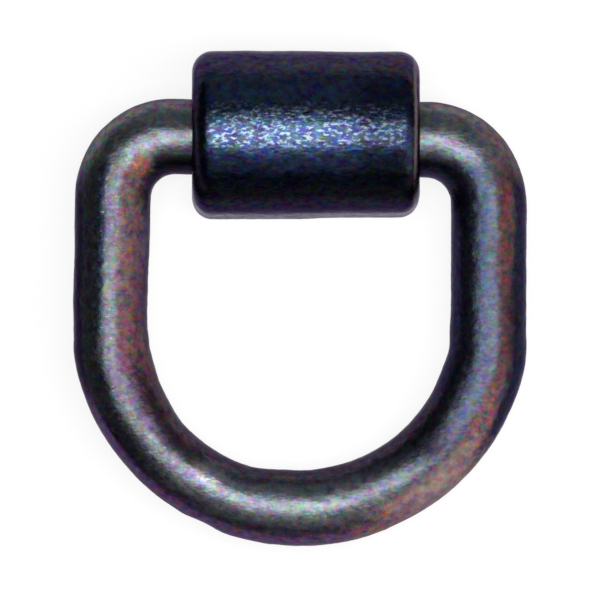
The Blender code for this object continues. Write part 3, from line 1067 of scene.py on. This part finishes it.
# %% [markdown]
# Last, a few flakes get painted glints on the lit top of the left half, and rust
# with its painted sheen covers the steel. Rust is no metal and is rougher than
# scale, so its mask drives both. The brightest parts of the top are a trace rougher too.

# %% Ring steel: put it together
PAINTED_SPARKLE = (0.24, 0.25, 0.27, 1)
RUST_ROUGHNESS = 0.35
BRIGHT_TOP_ROUGHNESS = 0.04

grain = use_group(scale_grain, Place=place, Size=GRAIN_SIZE)
# painted glints, only within the lit top's highlight
painted_sparkle = times(ramp(along["X"], -0.005, -0.02, high=0.6), lit_part, ramp(grain["Glitter"], 0.63, 0.70))
with_painted_sparkle = mix_colour(painted_sparkle, tinted["Colour"], PAINTED_SPARKLE)
steel_colour = mix_colour(rust_and_sheen, with_painted_sparkle, rust_and_sheen_colour["Colour"])
rougher = stronger(times(rust_and_sheen, RUST_ROUGHNESS), times(bright_top, BRIGHT_TOP_ROUGHNESS))
steel_roughness = math_node("ADD", ramp(grain["Flake"], 0.0, 1.0, low=0.38, high=0.28), rougher)
tree.links.new(all_but(rust_and_sheen), shader.inputs["Metallic"])
finish_steel(ring, ring_steel, shader, steel_colour, steel_roughness, grain["Height"])

# %% [markdown]
# ## Put both forgings on the frame
#
# Each piece rides on its body, so it moves when the ring swings, and it stands
# for the plain solid of the frame, which is then hidden.

# %% Tie the pieces to the frame
for piece, body, solid, steel in (
        (clip, "clip", "weld_clip", "clip_steel"), (ring, "ring", "d_ring", "ring_steel")):
    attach(piece, body)
    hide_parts(solid)
    print(piece.name, "rides on", body, "and stands for", solid)

# %% [markdown]
# ## Floor and light
#
# The photo's ground is white. A floor that is white only by its lamps would
# need so much light that the steel would burn out. So the floor's own colour is
# a dark grey, and most of its white is a glow that shows only to the camera and
# in what mirrors it. The rest of its white comes from the lamps, which is why
# the ring still throws its soft shadow.

# %% Floor
FLOOR_SIZE = 8.0
FLOOR_GREY = (0.18, 0.18, 0.18, 1)
FLOOR_GLOW = 0.84
WHITE = (1, 1, 1, 1)

deselect_everything()
bpy.ops.mesh.primitive_plane_add(size=FLOOR_SIZE, location=(0, 0, 0))
floor = bpy.context.object
floor.name = "floor"
floor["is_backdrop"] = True
floor_paint = bpy.data.materials.new("floor_paint")
floor_paint.use_nodes = True
tree = floor_paint.node_tree
tree.nodes.clear()
paint = node(tree, "ShaderNodeBsdfDiffuse", {"Color": FLOOR_GREY})
rays = node(tree, "ShaderNodeLightPath").outputs
seen = math_node("ADD", rays["Is Camera Ray"], rays["Is Glossy Ray"])
seen = math_node("ADD", seen, rays["Is Transmission Ray"])
glow = node(tree, "ShaderNodeEmission", {"Color": WHITE, "Strength": times(seen, FLOOR_GLOW)})
both = node(tree, "ShaderNodeAddShader", {0: paint.outputs[0], 1: glow.outputs[0]})
node(tree, "ShaderNodeOutputMaterial", {"Surface": both.outputs[0]})
floor.data.materials.append(floor_paint)
print("floor", FLOOR_SIZE, "m")

# %% [markdown]
# One soft light hangs level over the object. On a round bar it draws the long
# bright line that the photo shows. Four fills lighten the flanks: a cool one
# beyond the clip, a weaker one before the bow, a faint one on the left, and a
# warm one on the right, which is the strongest. The world is a dim grey, so the
# flanks that face left stay dark. With the Standard view transform, a colour
# renders about as it is written.

# %% Lights and world
def soft_light(name, place, width, depth, glow, colour, level=False):
    """A soft panel that faces the object, or straight down where it is level.

    Its power follows from its size and from how bright its face is.
    """
    deselect_everything()
    bpy.ops.object.light_add(type="AREA", location=place)
    light = bpy.context.object
    light.name = name
    if not level:
        light.rotation_euler = (-Vector(place)).to_track_quat("-Z", "Y").to_euler()
    light.data.shape = "RECTANGLE"
    light.data.size = width
    light.data.size_y = depth
    light.data.energy = glow * math.pi * width * depth
    light.data.color = colour


soft_light("key_light", place=(0.042, -0.002, 0.34), width=0.44, depth=0.21, glow=4.6,
           colour=(1.0, 1.0, 1.0), level=True)
soft_light("far_fill", place=(0.20, 0.75, 0.40), width=1.6, depth=0.75, glow=0.27,
           colour=(0.86, 0.92, 1.0))
soft_light("near_fill", place=(0.0, -0.55, 0.62), width=0.6, depth=0.42, glow=0.35,
           colour=(0.95, 0.92, 1.0))
soft_light("left_fill", place=(-0.75, -0.05, 0.22), width=0.6, depth=0.34, glow=0.09,
           colour=(0.92, 0.94, 1.0))
soft_light("warm_fill", place=(0.75, -0.30, 0.50), width=0.9, depth=0.7, glow=2.0,
           colour=(1.0, 0.88, 0.80))

WORLD_GREY = 0.04
world = bpy.data.worlds.new("studio")
world.use_nodes = True
world.node_tree.nodes["Background"].inputs["Color"].default_value = WHITE
world.node_tree.nodes["Background"].inputs["Strength"].default_value = WORLD_GREY
bpy.context.scene.world = world
bpy.context.scene.view_settings.view_transform = "Standard"

# %% [markdown]
# ## Check the size
#
# The last cell prints how far each side of the finished model's box lies from
# the frame's. The forge marks move a side by a few tenths of a millimetre at most.

# %% Write the sizes and finish
scene_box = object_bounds()
moved = [round((now - drawn) * 1000, 2) for now, drawn in zip(
    (*scene_box[0], *scene_box[1]), (*cad_box[0], *cad_box[1]))]
print("sides moved by", moved, "mm")
